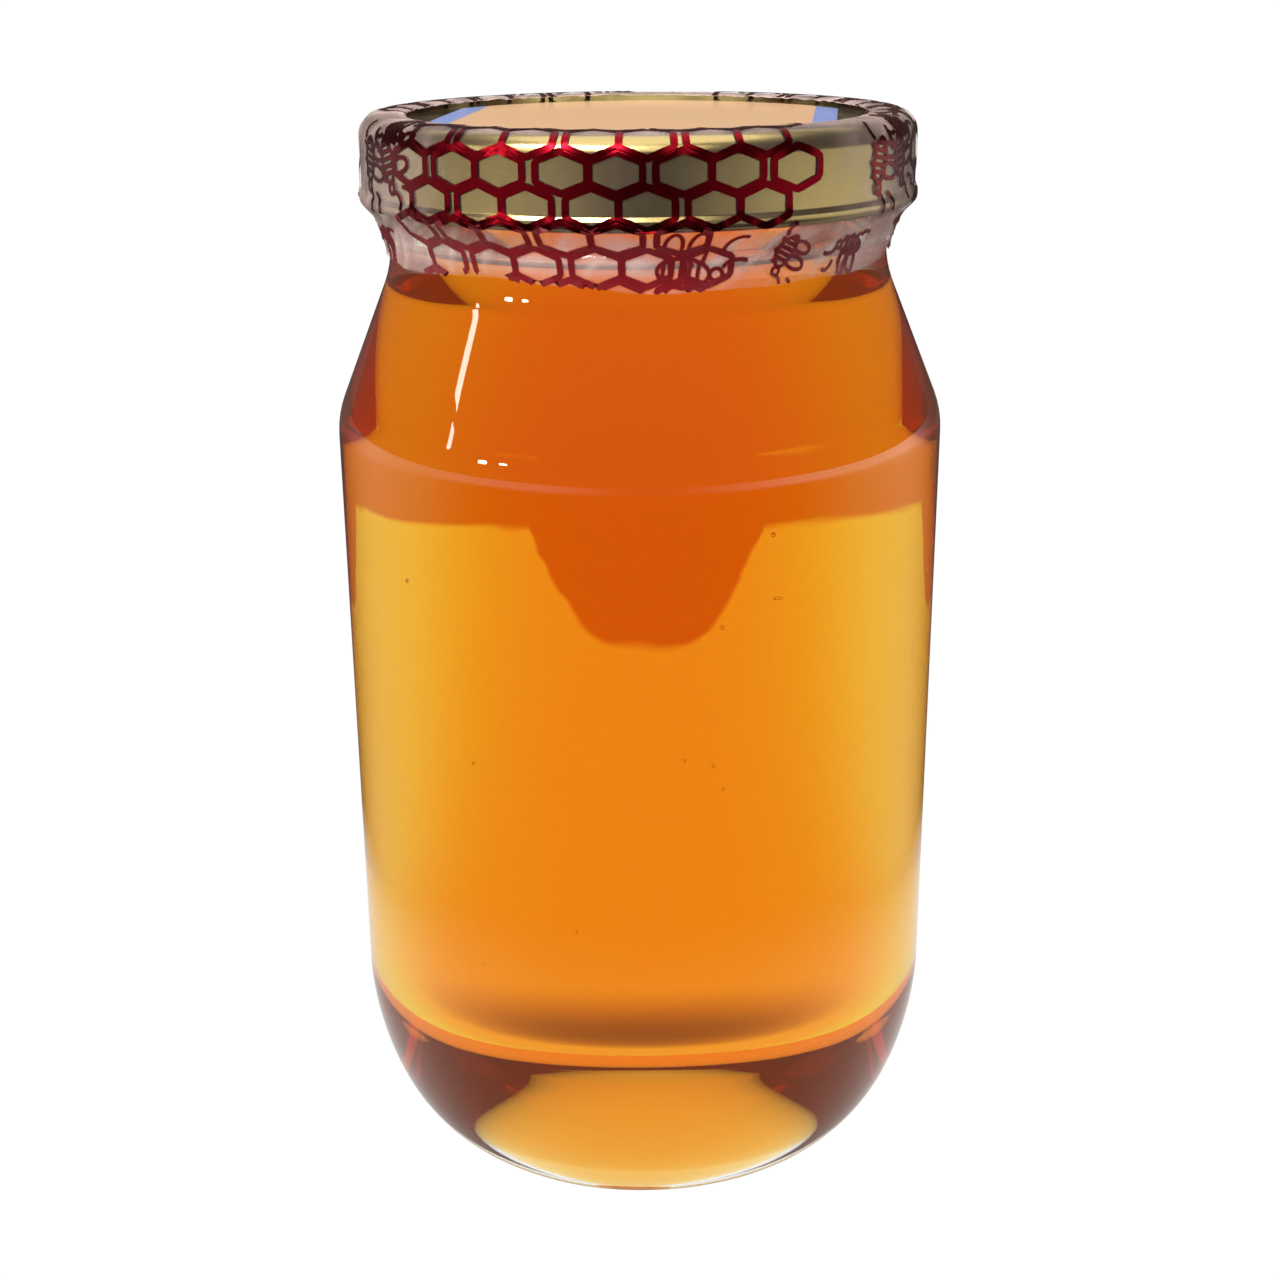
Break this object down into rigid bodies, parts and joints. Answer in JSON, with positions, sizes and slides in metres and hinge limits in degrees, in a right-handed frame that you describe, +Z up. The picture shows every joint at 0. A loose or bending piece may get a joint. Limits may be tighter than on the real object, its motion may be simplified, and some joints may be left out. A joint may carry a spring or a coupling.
{
  "type": "honey jar",
  "caption": "Full glass jar of honey, shut with a gold twist-off metal cap under a clear printed shrink band, with a paper label on top.",
  "frame": {"origin": "centre of the foot, on the surface that the jar stands on", "axes": "+Z up along the jar's axis of symmetry, -Y towards the side that the picture shows"},
  "size_m": [0.096, 0.096, 0.1717],
  "materials": {
    "clear_glass": "clear moulded soda-lime glass",
    "amber_honey": "clear amber liquid",
    "gold_tinplate": "gold lacquered tinplate, pressed",
    "printed_film": "clear shrink film with a dark red honeycomb print",
    "label_paper": "peach coated paper with pale blue edge bands"
  },
  "bodies": {
    "root": {"glass_jar": "clear_glass", "honey": "amber_honey", "cap": "gold_tinplate", "seal_band": "printed_film", "top_label": "label_paper"}
  },
  "joints": []
}
